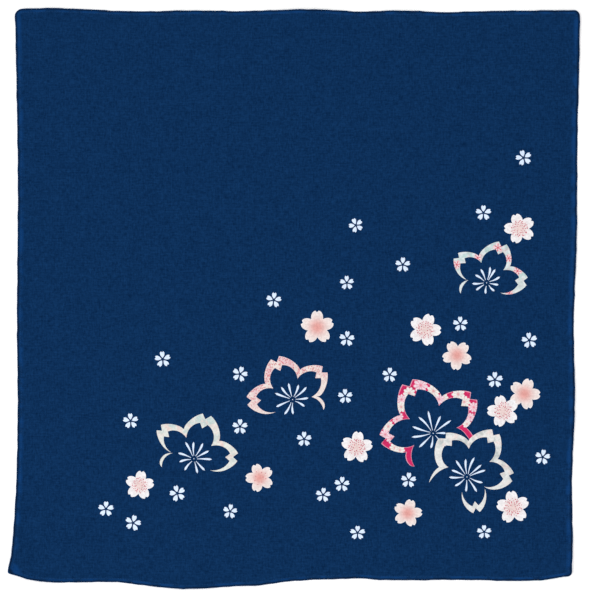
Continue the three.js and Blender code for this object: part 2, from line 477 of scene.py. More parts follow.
def printRoundBlossom(x, y, radius, turn, paint, dots, chance):
    motif = addMotif(*flatPlace(x, y), turn, radius)
    for scale, depth in ((1, 0), (roundBlossoms["rim"], 1)):
        addShape(placed(roundOutline(roundBlossoms["steps"], scale), motif), paint, motif, depth)
    printDots(motif, dots, chance, **roundBlossoms["dots"])


def swung(point, axes, petal, stretch=1):  # a point of an upright petal, at that petal's angle and size
    angle = math.degrees(math.atan2(point[1], point[0])) - 90
    axis, size = axes[petal][0], axes[petal][1] * stretch
    before, after = (petal, petal + 1) if angle > 0 else (petal - 1, petal)  # beside the nearer valley
    valley, depth = axes[before][2:]
    valleySize = depth * (axes[before][1] + axes[after][1]) / 2
    share = abs(angle) / (petalTurn / 2)  # 0 along the petal, 1 at the valley
    reach = math.hypot(*point) * (size + (valleySize - size) * share)
    return turned((reach, 0), axis + (valley - axis) * share)


def petalShare(i, half):  # how far round its petal a point lies: 0.5 at the notch
    if i == half:
        return 0.5
    side = largeInk["sideShare"]
    return side * i / (half - 1) if i < half else 1 - side + side * (i - half - 1) / (half - 1)


def ribbonSamples(petals, narrowed, first=-2, last=6):  # ribbon place, outer point and inner point
    outer = wholePetal("ribbonOuter", largeInk["steps"])
    inner = wholePetal("ribbonInner", largeInk["steps"])
    half = len(outer) // 2
    axes = {}
    for n in range(first - 1, last + 2):
        angle, size, valley, depth = petals[n % petalCount]
        turn = 360 * (n // petalCount)
        axes[n] = (angle + turn, size, valley + turn, depth)
    samples = []
    for petal in range(first, last + 1):  # almost two turns
        for i in range(len(outer) - 1):
            place = petal + petalShare(i, half)
            innerPoint = swung(inner[i], axes, petal, narrowed.get(petal % petalCount, 1))
            samples.append((place, swung(outer[i], axes, petal), innerPoint))
    return samples


def between(a, b, share):
    return a[0] + (b[0] - a[0]) * share, a[1] + (b[1] - a[1]) * share


def ribbonAt(samples, place):
    i = bisect_right([sample[0] for sample in samples], place) - 1
    (start, outerA, innerA), (end, outerB, innerB) = samples[i], samples[i + 1]
    s = (place - start) / (end - start)
    return between(outerA, outerB, s), between(innerA, innerB, s)


def taperAt(reach, taper):
    return math.sqrt(smoothStep(reach / taper)) if taper else 1


def printRibbon(samples, start, end, low, high, startTaper, endTaper, lean, paint, motif):
    gap, edging = largeInk["endGap"], largeInk["edging"]
    places = [start, *(sample[0] for sample in samples if start + gap < sample[0] < end - gap), end]
    sides = {0: [], edging: [], 1 - edging: [], 1: []}
    for place in places:
        outer, inner = ribbonAt(samples, place)
        inner, outer = between(inner, outer, low), between(inner, outer, high)
        point = between(inner, outer, lean)
        width = taperAt(place - start, startTaper) * taperAt(end - place, endTaper)
        for share, side in sides.items():
            side.append(between(point, between(inner, outer, share), width))
    fades = [smoothStep(min(place - start, end - place) / largeInk["endFade"]) for place in places]
    # a tapered end is one point, so the way back leaves it out
    back = slice(1 if startTaper else 0, len(places) - (1 if endTaper else 0))
    whole = addShape(
        placed([*sides[1], *reversed(sides[0][back])], motif), paint, motif,
        alongs=[*fades, *reversed(fades[back])],
    )
    addShape(
        placed([*sides[1 - edging][back], *reversed(sides[edging][back])], motif), paint, motif, depth=1,
        alongs=[*fades[back], *reversed(fades[back])],
    )
    return whole


def stamenOutline(angle, reach, bend, start, thin, thick, rounding, steps):
    left, right = [], []
    for k in range(steps + 1):
        s = k / steps
        along = start + (reach - start) * s
        half = (thin + (thick - thin) * smoothStep(s / rounding)) / 2  # it widens up to its rounded end
        half *= math.sqrt(max(1 - max((s - rounding) / (1 - rounding), 0) ** 2, 0))
        middle = bend * reach * math.sin(math.pi * s)
        left.append(turned((along, middle + half), angle))
        right.append(turned((along, middle - half), angle))
    return [*right, *reversed(left[:-1])]


def printStamens(blossom, home, chance):
    motif = addMotif(*flatPlace(*blossom["heart"]), 90, 1, home)
    addShape(placed(dotOutline(largeInk["heartDot"]), motif), "whiteInk", motif)
    for angle, reach in blossom["stamens"]:
        bend = chance.uniform(-largeInk["stamenBend"], largeInk["stamenBend"])
        outline = stamenOutline(angle, reach, bend, **largeInk["stamen"])
        addShape(placed(outline, motif), "whiteInk", motif)


def printLargeBlossom(blossom, chance):
    motif = addMotif(*flatPlace(blossom["x"], blossom["y"]), 90, blossom["radius"])
    ribbons = blossom["ribbons"]
    samples = ribbonSamples(blossom["petals"], blossom.get("narrowed", {}))
    wholes = [printRibbon(samples, *ribbon, blossom["paint"], motif) for ribbon in ribbons]
    longest = max(range(len(ribbons)), key=lambda n: ribbons[n][1] - ribbons[n][0])
    for place, across, radius, paint in blossom.get("flowers", []):  # cut off at the longest ribbon
        outer, inner = ribbonAt(samples, place)
        centre = placed([between(inner, outer, across)], motif)[0]
        flower = addMotif(*centre, chance.uniform(0, 360), radius, motif)
        isRound = paint == red
        for scale, depth in ((1, 0), (largeInk["flowerRim"], 1)):
            outline = roundOutline(largeInk["flowerSteps"], scale) if isRound else daisyOutline(scale)
            addShape(placed(outline, flower), paint, flower, depth, wholes[longest])
    printStamens(blossom, motif, chance)


def buildPrint():
    chance = random.Random(printSeed)
    for blossom in largeBlossoms:
        printLargeBlossom(blossom, chance)
    for place in roundBlossoms["places"]:
        printRoundBlossom(*place, chance)
    for place in smallBlossoms["places"]:
        printSmallBlossom(*place)


buildPrint()
print("print:", len(printShapes), "shapes on", len(printMotifs), "motifs")

# The flat map for baked copies: the plain cloth below, the underside beside it, the blossoms in rows above.
bakeMap = {
    "face": (0.012, 0.012, 0.00098),  # start in x and y, and a millimetre, as shares of the map
    "under": (0.695, 0.012, 0.00042),
    "print": (0.012, 0.71, 0.00164),
    "rowWidth": 594,
    "gap": 3,
    "wallSpread": 1.006,  # the wall round the edge is unrolled just outside the face
}


def layBakeRows():  # how far each blossom is shifted to its place in the rows, the tallest first
    points = {}
    for shape in printShapes:
        if shape["within"] is None:
            points.setdefault(printMotifs[shape["motif"]]["home"], []).extend(shape["points"])
    sizes = []
    for home, spots in points.items():
        across, along = zip(*spots)
        left, low = min(across), min(along)
        sizes.append((max(along) - low, max(across) - left, left, low, home))
    shifts, rowX, rowY, tallest = {}, 0, 0, 0
    for height, width, left, low, home in sorted(sizes, reverse=True):
        if rowX + width > bakeMap["rowWidth"]:
            rowX, rowY, tallest = 0, rowY + tallest + bakeMap["gap"], 0
        tallest = max(tallest, height)
        shifts[home] = (rowX - left, rowY - low)
        rowX += width + bakeMap["gap"]
    return shifts


bakeRows = layBakeRows()


def bakePlace(x, y, side, home=None):
    if home is not None:
        part, (shiftX, shiftY) = "print", bakeRows[home]
        mapX, mapY = x + shiftX, y + shiftY
    elif side == "under":
        part, mapX, mapY = "under", halfWidth - x, halfLength + y
    else:
        spread = bakeMap["wallSpread"] if side == "wall" else 1
        part, mapX, mapY = "face", halfWidth + x * spread, halfLength + y * spread
    startX, startY, scale = bakeMap[part]
    return startX + mapX * scale, startY + mapY * scale


paints = [
    "navyCrepe", "crepeBack", "whiteInk", "whiteBloom", "pinkBloom", "stamenDot", "mintRibbon",
    "pinkRibbon", "creamRibbon", "redRibbon", "silverRibbon", "redFlower", "paleFlower", "creamFlower",
]
sheetMesh = {"points": [], "index": {}, "faces": [], "slots": [], "inks": [], "bakePlaces": []}
faceUp = ["face"] * 4  # the side on which each corner of a face lies
faceDown = ["under"] * 4
edgeWall = ["wall", "wall", "face", "face"]  # a wall stands on the underside's points


def vertex(x, y, side, digits=3):
    index = sheetMesh["index"]
    key = (round(x, digits), round(y, digits), side)
    if key not in index:
        index[key] = len(sheetMesh["points"])
        sheetMesh["points"].append(sheetPoint(x, y, side))
    return index[key]


def addFace(spots, sides, paint, inks=None, home=None):
    ring = [vertex(x, y, "face" if side == "face" else "under") for (x, y), side in zip(spots, sides)]
    if len(set(ring)) < len(ring):  # a sliver where two outlines cross
        return
    sheetMesh["faces"].append(ring)
    sheetMesh["slots"].append(paints.index(paint))
    sheetMesh["inks"] += inks or [(x * mm, y * mm, 1, 1) for x, y in spots]
    sheetMesh["bakePlaces"] += [bakePlace(x, y, side, home) for (x, y), side in zip(spots, sides)]


def gridLines(half):  # the hem's lines at both ends and even steps between
    hem = [row[0] for row in hemSection]
    field = 2 * (half - hem[-1])
    steps = round(field / clothSheet["gridStep"])
    inner = [hem[-1] + field * i / steps for i in range(1, steps)]
    return [-half + inset for inset in [*hem, *inner]] + [half - inset for inset in reversed(hem)]


def layHemAndBack(columns, rows):  # the hem's face, and the whole underside
    for left, right in zip(columns, columns[1:]):
        for low, high in zip(rows, rows[1:]):
            ring = [(left, low), (right, low), (right, high), (left, high)]
            inset = insetAt((left + right) / 2, (low + high) / 2)
            if inset < hemSection[-1][0]:
                addFace(ring, faceUp, "navyCrepe")
            addFace(ring[::-1], faceDown, "crepeBack" if inset > clothSheet["backInset"] else "navyCrepe")


def layField(columns, rows, closeness=1e-5):  # triangles of the printed field, and the shape on each
    spots, owners, outlines = [], [], []
    for shape in printShapes:
        outlines.append(list(range(len(spots), len(spots) + len(shape["points"]))))
        spots += shape["points"]
        owners += [(shape["motif"], shape["depth"], along) for along in shape["alongs"]]
    cell = clothSheet["printClearance"]
    taken = {
        (math.floor(x / cell) + i, math.floor(y / cell) + j)
        for x, y in spots for i in (-1, 0, 1) for j in (-1, 0, 1)
    }
    for y in rows:
        for x in columns:
            onBorder = x in (columns[0], columns[-1]) or y in (rows[0], rows[-1])
            if onBorder or (math.floor(x / cell), math.floor(y / cell)) not in taken:
                spots.append((x, y))
                owners.append(None)
    places, _, triangles, sources, _, covers = delaunay_2d_cdt(
        [Vector(spot) for spot in spots], [], outlines, 0, closeness, True  # 0 keeps every triangle
    )
    shown = []
    for cover in covers:
        clips = {n: printShapes[n]["within"] for n in cover}
        shown.append(max((n for n in cover if clips[n] is None or clips[n] in cover), default=None))
    inks = [{owners[n][0]: owners[n][1:] for n in source if owners[n]} for source in sources]
    return places, triangles, shown, inks


def layPrint(places, triangles, shown, inks):
    for triangle, number in zip(triangles, shown):
        spots = [(places[n].x, places[n].y) for n in triangle]
        if number is None:
            addFace(spots, faceUp, "navyCrepe")
            continue
        shape = printShapes[number]
        motif = printMotifs[shape["motif"]]
        shapeInks = []
        for n, (x, y) in zip(triangle, spots):
            u, v = (x - motif["x"]) / motif["radius"], (y - motif["y"]) / motif["radius"]
            shapeInks.append((*turned((u, v), -motif["turn"]), *inks[n].get(shape["motif"], (1, 1))))
        addFace(spots, faceUp, shape["paint"], shapeInks, motif["home"])


def layWall(columns, rows):  # the thin wall round the edge
    rim = [(x, rows[0]) for x in columns] + [(columns[-1], y) for y in rows[1:]]
    rim += [(x, rows[-1]) for x in columns[-2::-1]] + [(columns[0], y) for y in rows[-2:0:-1]]
    for a, b in zip(rim, rim[1:] + rim[:1]):
        addFace([a, b, b, a], edgeWall, "navyCrepe")


def newMesh(name, points, faces):
    mesh = bpy.data.meshes.new(name)
    mesh.from_pydata(points, [], faces)
    mesh.polygons.foreach_set("use_smooth", [True] * len(faces))
    return mesh


def newObject(name, data):
    made = bpy.data.objects.new(name, data)
    bpy.context.scene.collection.objects.link(made)
    return made


def buildCloth():
    columns, rows = gridLines(halfWidth), gridLines(halfLength)
    field = slice(len(hemSection) - 1, 1 - len(hemSection))  # the grid lines inside the hem
    layHemAndBack(columns, rows)
    layPrint(*layField(columns[field], rows[field]))
    layWall(columns, rows)
    mesh = newMesh("furoshikiCloth", sheetMesh["points"], sheetMesh["faces"])
    mesh.polygons.foreach_set("material_index", sheetMesh["slots"])
    inks = sheetMesh["inks"]
    place = mesh.uv_layers.new(name="printPlace")  # the blossom's own x and y, in its radius
    place.data.foreach_set("uv", [value for ink in inks for value in ink[:2]])
    # inkDepth is 0 at a shape's edge and 1 inside it; inkAlong is 0 at a ribbon's ends and 1 away from them
    for name, column in (("inkDepth", 2), ("inkAlong", 3)):
        values = mesh.attributes.new(name, "FLOAT", "CORNER")
        values.data.foreach_set("value", [ink[column] for ink in inks])
    bake = mesh.uv_layers.new(name="OFBake")
    bake.data.foreach_set("uv", [value for spot in sheetMesh["bakePlaces"] for value in spot])
    mesh.update()
    return newObject("furoshikiCloth", mesh)


cloth = buildCloth()
print("cloth:", len(cloth.data.vertices), "points,", len(cloth.data.polygons), "faces")

# A row of short thread stitches along the hem's inner edge, on the face and on the underside.
hemStitches = {
    "pitch": 3.2,
    "length": 2.5,
    "thickness": 0.34,
    "inset": 4.75,
    "rise": 0.3,  # of the thickness, to the thread's middle
    "sink": 0.05,  # how far the thread is drawn into the cloth
    "flatness": 0.8,
    "sides": 6,
    "ahead": 0.5,  # how far on the thread's direction is taken
    "rings": [  # share of the half length, share of the thickness, dip
        (-1, 0.35, 0.22), (-0.7, 0.95, 0.04), (0.7, 0.95, 0.04), (1, 0.35, 0.22),
    ],
}


def stitchPlaces():  # where each stitch lies along and across, and whether it is upright
    inset, pitch = hemStitches["inset"], hemStitches["pitch"]
    places = []
    for side in (-1, 1):
        for half, other, upright in ((halfWidth, halfLength, False), (halfLength, halfWidth, True)):
            count = int(2 * (half - inset) / pitch)
            start = -(count - 1) / 2 * pitch
            places += [(start + i * pitch, side * (other - inset), upright) for i in range(count)]
    return places


def addStitch(points, faces, along, across, upright, side):
    thickness, sides = hemStitches["thickness"], hemStitches["sides"]
    up = Vector((0, 0, 1 if side == "face" else -1))

    def clothAt(place):
        return sheetPoint(across, place, side) if upright else sheetPoint(place, across, side)

    rings = []
    for share, thin, dip in hemStitches["rings"]:
        place = along + share * hemStitches["length"] / 2
        centre = clothAt(place)
        aside = (clothAt(place + hemStitches["ahead"]) - centre).normalized().cross(up).normalized()
        radius = thickness / 2 * thin * mm
        centre += up * (thickness * hemStitches["rise"] - hemStitches["sink"] - dip) * mm
        rings.append(range(len(points), len(points) + sides))
        for k in range(sides):
            angle = 2 * math.pi * k / sides
            spoke = aside * math.cos(angle) + up * math.sin(angle) * hemStitches["flatness"]
            points.append(centre + spoke * radius)
    for before, after in zip(rings, rings[1:]):
        for k in range(sides):
            n = (k + 1) % sides
            faces.append([before[k], after[k], after[n], before[n]])
    faces += [list(rings[0]), list(rings[-1])[::-1]]


def buildStitches():
    points, faces = [], []
    for place in stitchPlaces():
        for side in ("face", "under"):
            addStitch(points, faces, *place, side)
    mesh = newMesh("hemStitches", points, faces)
    mesh.update()
    return newObject("hemStitches", mesh)


stitches = buildStitches()
print("stitches:", len(stitches.data.polygons), "faces")


def srgb(red, green, blue):  # a colour as seen on screen, as the shader's own values
    values = [value / 255 for value in (red, green, blue)]
    return (*(v / 12.92 if v <= 0.04045 else ((v + 0.055) / 1.055) ** 2.4 for v in values), 1.0)


def fillSockets(tree, node, inputs):  # links the sockets among the inputs, and sets the plain values
    for name, value in inputs.items():
        if isinstance(value, bpy.types.NodeSocket):
            tree.links.new(value, node.inputs[name])
        else:
            node.inputs[name].default_value = value


def addNode(tree, kind, inputs=None, **settings):
    made = tree.nodes.new(kind)
    for name, value in settings.items():
        setattr(made, name, value)
    fillSockets(tree, made, inputs or {})
    return made


def groupNode(tree, group, inputs=None):
    return addNode(tree, "ShaderNodeGroup", inputs, node_tree=group).outputs


def mathNode(tree, operation, first, *others):  # a chain of nodes where there are more than two values
    for other in others:
        first = addNode(tree, "ShaderNodeMath", {0: first, 1: other}, operation=operation).outputs[0]
    return first


def weightedSum(tree, values, weights):
    return mathNode(tree, "ADD", *(mathNode(tree, "MULTIPLY", *pair) for pair in zip(values, weights)))


def mixColour(tree, factor, first, second, blend="MIX"):
    inputs = {0: factor, 6: first, 7: second}
    return addNode(tree, "ShaderNodeMix", inputs, data_type="RGBA", blend_type=blend).outputs[2]


def rampValue(tree, value, low, high, start=0.0, end=1.0):
    inputs = {0: value, 1: low, 2: high, 3: start, 4: end}
    return addNode(tree, "ShaderNodeMapRange", inputs, interpolation_type="SMOOTHSTEP").outputs[0]


def noiseNode(tree, vector, scale, detail=2.0, roughness=0.55, distortion=0.0):
    inputs = {"Vector": vector, "Scale": scale, "Detail": detail, "Roughness": roughness}
    return addNode(tree, "ShaderNodeTexNoise", {**inputs, "Distortion": distortion}).outputs["Fac"]


def attributeValue(tree, name):
    return addNode(tree, "ShaderNodeAttribute", attribute_name=name).outputs["Fac"]


def clothMillimetres(tree, stretch=(1, 1, 1)):
    place = addNode(tree, "ShaderNodeTexCoord").outputs["Object"]
    scale = tuple(share / mm for share in stretch)
    return addNode(tree, "ShaderNodeVectorMath", {0: place, 1: scale}, operation="MULTIPLY").outputs[0]


def newGroup(name, inputs, build):  # a tuple is a colour's value, and an output named Color is a colour
    group = bpy.data.node_groups.new(name, "ShaderNodeTree")
    for label, value in inputs.items():
        kind = "NodeSocketColor" if isinstance(value, tuple) else "NodeSocketFloat"
        group.interface.new_socket(label, in_out="INPUT", socket_type=kind).default_value = value
    results = build(group, group.nodes.new("NodeGroupInput").outputs)
    for label in results:
        kind = "NodeSocketColor" if label == "Color" else "NodeSocketFloat"
        group.interface.new_socket(label, in_out="OUTPUT", socket_type=kind)
    fillSockets(group, group.nodes.new("NodeGroupOutput"), results)
    return group


white = (1, 1, 1, 1)
black = (0, 0, 0, 1)
navy = srgb(2, 43, 80)

# The crepe's weave. A fineness is a noise's scale for a millimetre.
crepe = {
    "grain": {"Grain Size": 1.9, "Streaks": 0.11},  # millimetres; how much long threads and clouds show
    "bumpDistance": 0.0005,  # metres
    "pebbleStretch": (1.25, 0.85, 1),
    "pebbleNoise": (3.0, 0.6, 0.9),  # detail, roughness, distortion
    "threadFineness": 2.6,
    "shortThreads": (0.3, 1),  # stretch along and across of threads that show for a little way
    "longThreads": (0.012, 0.8),  # and of those that show right over the cloth
    "longNoise": (3.0, 0.7),
    "cloudFineness": 0.06,
    "reliefShares": (0.6, 0.4),  # pebbles, threads
    "toneShares": (0.4, 0.3),  # relief, short threads
    "toneRange": (0.3, 0.7),  # from the hollows to the tops
}


def crepeNodes(group, given):  # the pebbled crepe: its relief and how light and dark it lies
    def noiseOver(stretch, *settings):
        return noiseNode(group, clothMillimetres(group, stretch), *settings)

    def threadsOver(along, across, *settings):  # weft and warp
        return [noiseOver(stretch, *settings) for stretch in ((along, across, 0), (across, along, 0))]

    fineness = mathNode(group, "DIVIDE", 1.0, given["Grain Size"])
    pebble = noiseOver(crepe["pebbleStretch"], fineness, *crepe["pebbleNoise"])
    thread = noiseOver((1, 1, 1), crepe["threadFineness"])
    woven = mathNode(group, "ADD", *threadsOver(*crepe["shortThreads"], fineness))
    longThreads = threadsOver(*crepe["longThreads"], 1.0, *crepe["longNoise"])
    cloud = noiseOver((1, 1, 1), crepe["cloudFineness"])
    uneven = mathNode(group, "ADD", *longThreads, cloud, -1.5)  # each noise is about a half
    relief = weightedSum(group, (pebble, thread), crepe["reliefShares"])
    tone = weightedSum(group, (relief, woven, uneven), (*crepe["toneShares"], given["Streaks"]))
    return {"Height": relief, "Tone": tone}


crepeGrain = newGroup("crepeGrain", {"Grain Size": 1.2, "Streaks": 0.3}, crepeNodes)


# The hem's painted light and shade, by inset from the edge: a painted highlight on the pale fold, a painted
# shade line beside it and a painted highlight on the paler raised band.
hemPaintedLight = {
    # painted highlight on the hem's folded outer edge
    "fold": (1.15, 0.5),
    # painted shade: a dark line beside the fold
    "edge": (2.9, 1.3),
    # painted highlight on the raised band
    "bandRise": (1.4, 2.6),
    "bandFall": (5.6, 3.6),
    "foldHighlightColour": srgb(5, 56, 100),
    "shadeLineColour": srgb(4, 16, 36),
    "patchFineness": 0.07,  # the painted shade and highlights come in patches, as the sewing draws the hem up unevenly
    "patchRange": (0.36, 0.64),
    "shadeLineAmounts": (1.0, 0.7),
    "bandHighlightAmounts": (0.05, 0.72),
    "sideStart": 2,  # past this inset the painted shading of the left and right hems is wider
    "sideSpread": 0.5,
    "tipSpread": 0.3,  # painted shade on the sharp corner's folds
    "underInset": 1.3,  # the painted highlight on the fold stays off the underside
}


# how far in a point lies, as the hem's painted light and shade take it; the sharp bottom-left corner is
# shaded as if nearer the edge
def paintedShadeInset(x, y, side):
    start = hemPaintedLight["sideStart"]
    fromSide, fromEnd = halfWidth - abs(x), halfLength - abs(y)
    fromSide = min(fromSide, start + (fromSide - start) * hemPaintedLight["sideSpread"])
    fromTip = math.hypot(x + halfWidth, y + halfLength)
    inset = min(fromSide, fromEnd, fromTip * hemPaintedLight["tipSpread"])
    return inset if side == "face" else max(inset, hemPaintedLight["underInset"])


def markPaintedHemLight():
    insets = cloth.data.attributes.new("hemInset", "FLOAT", "POINT")
    insets.data.foreach_set("value", [paintedShadeInset(*key) for key in sheetMesh["index"]])


def paintedHemLightNodes(group, given):
    inset = attributeValue(group, "hemInset")
    patches = noiseNode(group, clothMillimetres(group), hemPaintedLight["patchFineness"])

    def insetRamp(name):
        return rampValue(group, inset, *hemPaintedLight[name])

    def patchRamp(name):
        return rampValue(group, patches, *hemPaintedLight["patchRange"], *hemPaintedLight[name])

    # painted shade along the edge and painted highlights on the band and the fold, uneven in patches
    edge = mathNode(group, "MULTIPLY", insetRamp("edge"), patchRamp("shadeLineAmounts"))
    band = mathNode(group, "MULTIPLY", insetRamp("bandRise"), insetRamp("bandFall"))
    band = mathNode(group, "MULTIPLY", band, patchRamp("bandHighlightAmounts"))
    colour = mixColour(group, band, given["Cloth"], given["Raised Highlight"])
    colour = mixColour(group, edge, colour, hemPaintedLight["shadeLineColour"])
    return {"Color": mixColour(group, insetRamp("fold"), colour, hemPaintedLight["foldHighlightColour"])}


markPaintedHemLight()
hemPaintedShade = newGroup("hemPaintedShade", {"Cloth": black, "Raised Highlight": black}, paintedHemLightNodes)


# How ink lies on the crepe: it sits on the pebbles, thinner in places, and is bare in their hollows.
inkLay = {
    "thinFineness": 0.42,
    "thinRange": (0.4, 0.62),
    "thinAmounts": (0.87, 1.0),
    "hollows": (0.46, 0.26),
}


def inkNodes(group, given):
    thin = noiseNode(group, clothMillimetres(group), inkLay["thinFineness"])
    thinness = rampValue(group, thin, *inkLay["thinRange"], *inkLay["thinAmounts"])
    ink = mixColour(group, 1.0, given["Ink"], thinness, "MULTIPLY")
    hollow = rampValue(group, given["Tone"], *inkLay["hollows"])
    bare = mathNode(group, "MULTIPLY", hollow, given["Show Through"])
    return {"Color": mixColour(group, bare, ink, given["Cloth"])}


inkInputs = {"Ink": white, "Cloth": black, "Tone": 0.5, "Show Through": 0.3}
inkOnCrepe = newGroup("inkOnCrepe", inkInputs, inkNodes)


# Ribbons are dyed in patches of two tints on a ground, with speckles and a pale edging.
ribbonPatches = {
    "tintRange": (0.42, 0.62),
    "blushRange": (0.46, 0.66),
    "blushStretch": (1.3, -1.3, 1),
    "dotFineness": 0.5,
    "dotRange": (0.5, 0.28),
    "edgeRange": (1.0, 0.6),
}


def ribbonNodes(group, given):
    place = clothMillimetres(group)
    blushPlace = clothMillimetres(group, ribbonPatches["blushStretch"])
    fineness = mathNode(group, "DIVIDE", 1.0, given["Patch Size"])
    dotInputs = {"Vector": place, "Scale": ribbonPatches["dotFineness"]}
    dots = addNode(group, "ShaderNodeTexVoronoi", dotInputs).outputs["Distance"]
    along = attributeValue(group, "inkAlong")
    colour = given["Ground"]
    for pattern, spread, amount, dye in (
        (noiseNode(group, place, fineness), "tintRange", "Tint Amount", "Tint"),
        (noiseNode(group, blushPlace, fineness), "blushRange", "Blush Amount", "Blush"),
        (dots, "dotRange", "Speckle", "Blush"),
    ):
        mask = rampValue(group, pattern, *ribbonPatches[spread])
        share = mathNode(group, "MULTIPLY", mask, given[amount], along)
        colour = mixColour(group, share, colour, given[dye])
    rim = rampValue(group, attributeValue(group, "inkDepth"), *ribbonPatches["edgeRange"])
    edge = mathNode(group, "MULTIPLY", rim, given["Edge Amount"])
    return {"Color": mixColour(group, edge, colour, given["Edging"])}


ribbonInputs = dict.fromkeys(("Ground", "Tint", "Blush", "Edging"), white)
ribbonInputs |= dict.fromkeys(("Tint Amount", "Blush Amount", "Speckle", "Edge Amount"), 0.5)
ribbonInputs["Patch Size"] = 14.0
ribbonDye = newGroup("ribbonDye", ribbonInputs, ribbonNodes)


# Where a blossom's heart, the fine veins and drawn lines along its petals, and its rim show.
petalMarks = {
    "heart": (1.25, 0.1),  # shares of the heart's size
    "veinSpread": 9.0,
    "veinFineness": 2.2,
    "veinRange": (0.5, 0.7),
    "lineRange": (0.25, 0.95),
    "lineReach": (0.98, 0.5),  # shares of the radius
    "rim": (0.8, 0.1),
}


def petalNodes(group, given):
    place = addNode(group, "ShaderNodeUVMap", uv_map="printPlace").outputs[0]
    parts = addNode(group, "ShaderNodeSeparateXYZ", {0: place}).outputs
    reach = addNode(group, "ShaderNodeVectorMath", {0: place}, operation="LENGTH").outputs["Value"]
    angle = mathNode(group, "ARCTAN2", parts["X"], parts["Y"])
    fan = {"X": mathNode(group, "MULTIPLY", angle, petalMarks["veinSpread"]), "Y": reach}
    fanPlace = addNode(group, "ShaderNodeCombineXYZ", fan).outputs[0]
    vein = noiseNode(group, fanPlace, petalMarks["veinFineness"])
    turns = mathNode(group, "MULTIPLY", angle, given["Line Count"])
    wave = addNode(group, "ShaderNodeMath", {0: turns}, operation="COSINE").outputs[0]
    line = rampValue(group, wave, *petalMarks["lineRange"])
    share = mathNode(group, "DIVIDE", reach, given["Heart Size"])
    return {
        "Heart": rampValue(group, share, *petalMarks["heart"]),
        "Veins": rampValue(group, vein, *petalMarks["veinRange"]),
        "Lines": mathNode(group, "MULTIPLY", line, rampValue(group, reach, *petalMarks["lineReach"])),
        "Rim": rampValue(group, attributeValue(group, "inkDepth"), *petalMarks["rim"]),
    }


petalShade = newGroup("petalShade", {"Heart Size": 0.5, "Line Count": 5.0}, petalNodes)

# Colours as seen on screen. The cloth's and the thread's: dark, light, and the painted highlight on the
# hem's raised band.
clothDyes = {
    "navyCrepe": ((0, 26, 58), (10, 49, 91), (8, 54, 106)),
    "crepeBack": ((14, 50, 84), (22, 60, 98), (8, 66, 116)),
}
threadDye = ((6, 46, 88), (16, 72, 124))
plainInks = {"whiteInk": (207, 222, 242), "stamenDot": (184, 72, 92)}

# Ribbons: ground, tint, blush and edging; amounts of tint, blush, speckle and edging; size of the patches.
ribbonDyes = {
    "mintRibbon": (
        (208, 215, 216), (161, 193, 190), (194, 168, 171), (202, 210, 211), 0.85, 0.6, 0.15, 0.5, 9,
    ),
    "pinkRibbon": (
        (219, 208, 203), (216, 181, 187), (198, 90, 100), (221, 203, 205), 0.9, 0.16, 0.85, 0.5, 14,
    ),
    "creamRibbon": (
        (211, 213, 207), (176, 196, 194), (222, 190, 184), (213, 215, 212), 0.85, 0.75, 0.16, 0.5, 11,
    ),
    "redRibbon": (
        (195, 30, 90), (172, 22, 76), (222, 58, 110), (216, 158, 176), 0.85, 0.5, 0.1, 0.9, 7,
    ),
    "silverRibbon": (
        (214, 215, 213), (166, 175, 174), (222, 200, 195), (219, 218, 217), 0.85, 0.65, 0.2, 0.5, 9,
    ),
}

# Blossoms: petal, heart, rim and marks; the heart's size; kind of marks, their amount and number.
bloomInks = {
    "whiteBloom": (
        (226, 223, 225), (217, 193, 190), (229, 230, 234), (205, 195, 199), 0.62, "Veins", 0.4, 5,
    ),
    "pinkBloom": (
        (223, 210, 207), (212, 150, 144), (226, 224, 226), (214, 183, 178), 0.62, "Veins", 0.4, 5,
    ),
    "redFlower": (
        (224, 200, 204), (196, 58, 80), (216, 158, 166), (192, 44, 70), 0.28, "Lines", 1.0, 6,
    ),
    "paleFlower": (
        (223, 198, 208), (214, 122, 140), (219, 172, 184), (212, 112, 134), 0.3, "Lines", 0.75, 9,
    ),
    "creamFlower": (
        (219, 219, 214), (210, 148, 152), (221, 198, 201), (212, 156, 160), 0.3, "Lines", 0.65, 9,
    ),
}

# How each surface lies: its relief, and its roughness in the hollows and on the tops.
clothFinish = {
    "relief": 0.65,
    "roughness": (0.94, 0.8),
    "dyeRange": (0.29, 0.71),  # tones of the dark and the light colour
    "sockets": {
        "Specular IOR Level": 0.05, "Sheen Weight": 0.06, "Sheen Roughness": 0.5,
        "Sheen Tint": srgb(70, 120, 190),
    },
}
threadFinish = {
    "relief": 0.3,
    "roughness": (0.6, 0.45),
    "dyeRange": (0.35, 0.65),
    "grain": {"Grain Size": 0.3, "Streaks": 0},
    "sockets": {"Specular IOR Level": 0.2},
}
inkFinish = {
    "relief": 0.35,
    "roughness": (0.85, 0.7),
    "showThrough": {"plain": 0.25, "ribbon": 0.2, "bloom": 0.16},  # how much cloth shows in the hollows
    "sockets": {"Specular IOR Level": 0.2},
}


def dyedByTone(tree, tone, finish, dark, light):
    return mixColour(tree, rampValue(tree, tone, *finish["dyeRange"]), srgb(*dark), srgb(*light))


def clothColour(tree, tone, name):
    # the third colour is the painted highlight on the hem's raised band
    dark, light, raised = clothDyes[name]
    woven = dyedByTone(tree, tone, clothFinish, dark, light)
    return groupNode(tree, hemPaintedShade, {"Cloth": woven, "Raised Highlight": srgb(*raised)})["Color"]


def threadColour(tree, tone, name):
    return dyedByTone(tree, tone, threadFinish, *threadDye)


def inked(tree, tone, ink, kind):
    inputs = {"Ink": ink, "Cloth": navy, "Tone": tone, "Show Through": inkFinish["showThrough"][kind]}
    return groupNode(tree, inkOnCrepe, inputs)["Color"]


def plainColour(tree, tone, name):
    return inked(tree, tone, srgb(*plainInks[name]), "plain")


